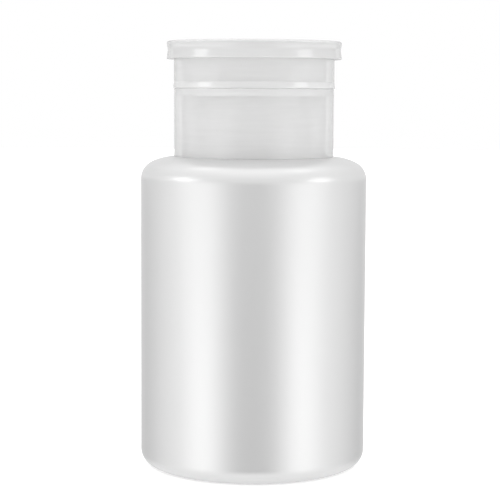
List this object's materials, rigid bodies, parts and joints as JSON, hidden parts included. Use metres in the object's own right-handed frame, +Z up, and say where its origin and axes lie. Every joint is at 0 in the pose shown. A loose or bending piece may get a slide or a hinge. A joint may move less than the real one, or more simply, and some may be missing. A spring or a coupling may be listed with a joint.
{
  "type": "nail polish remover pump",
  "caption": "Round pearl bottle with a translucent screw collar and flip-lid tray; pressing the round button pumps liquid up through a nozzle into a cotton pad.",
  "frame": {"origin": "centre of the base, on the surface that the bottle stands on", "axes": "+Z up along the bottle's axis; -Y is the front and +Y the lid's hinge side; +X is to the right as seen from the front"},
  "size_m": [0.06, 0.06, 0.1128],
  "materials": {
    "pearl_bottle": "pearlescent white polyethylene, satin",
    "clear_cap": "natural translucent polypropylene, moulded gloss",
    "pump_plastic": "natural polypropylene, moulded",
    "foam": "closed-cell foam washer",
    "seal": "soft natural elastomer",
    "steel": "bright stainless steel"
  },
  "bodies": {
    "bottle": {"bottle_body": "pearl_bottle"},
    "pump_unit": {"pump_cylinder": "pump_plastic", "neck_gasket": "foam", "dip_tube": "pump_plastic", "ball_retainer": "pump_plastic", "stem_guide": "pump_plastic", "stem_wiper": "seal", "return_spring": "steel"},
    "inlet_valve": {"inlet_ball": "steel"},
    "plunger": {"press_button": "pump_plastic", "nozzle_insert": "pump_plastic", "pump_stem": "pump_plastic", "piston_seal": "seal", "spring_seat": "pump_plastic"},
    "outlet_valve": {"outlet_ball": "steel"},
    "closure": {"screw_collar": "clear_cap", "tray_ring": "clear_cap"},
    "lid": {"flip_lid": "clear_cap"}
  },
  "joints": [
    {"name": "pump_lift", "type": "slide", "parent": "bottle", "child": "pump_unit", "axis": [0, 0, 1], "range_m": [0, 0.0072]},
    {"name": "collar_turn", "type": "hinge", "parent": "pump_unit", "child": "closure", "pos_m": [0, 0, 0.0989], "axis": [0, 0, 1], "range_deg": [0, 810]},
    {"name": "lid_hinge", "type": "hinge", "parent": "closure", "child": "lid", "pos_m": [0, 0.02431, 0.1092], "axis": [-1, 0, 0], "range_deg": [0, 150]},
    {"name": "button_press", "type": "slide", "parent": "pump_unit", "child": "plunger", "axis": [0, 0, -1], "range_m": [0, 0.0045], "stiffness_N_per_m": 800, "springref_m": -0.003, "deforming": ["return_spring"]},
    {"name": "inlet_ball_lift", "type": "slide", "parent": "pump_unit", "child": "inlet_valve", "axis": [0, 0, 1], "range_m": [0, 0.0012]},
    {"name": "outlet_ball_lift", "type": "slide", "parent": "plunger", "child": "outlet_valve", "axis": [0, 0, 1], "range_m": [0, 0.0008]}
  ],
  "couplings": [
    {"joint": "pump_lift", "follows": "collar_turn", "m_per_rad": 0.00050929}
  ]
}
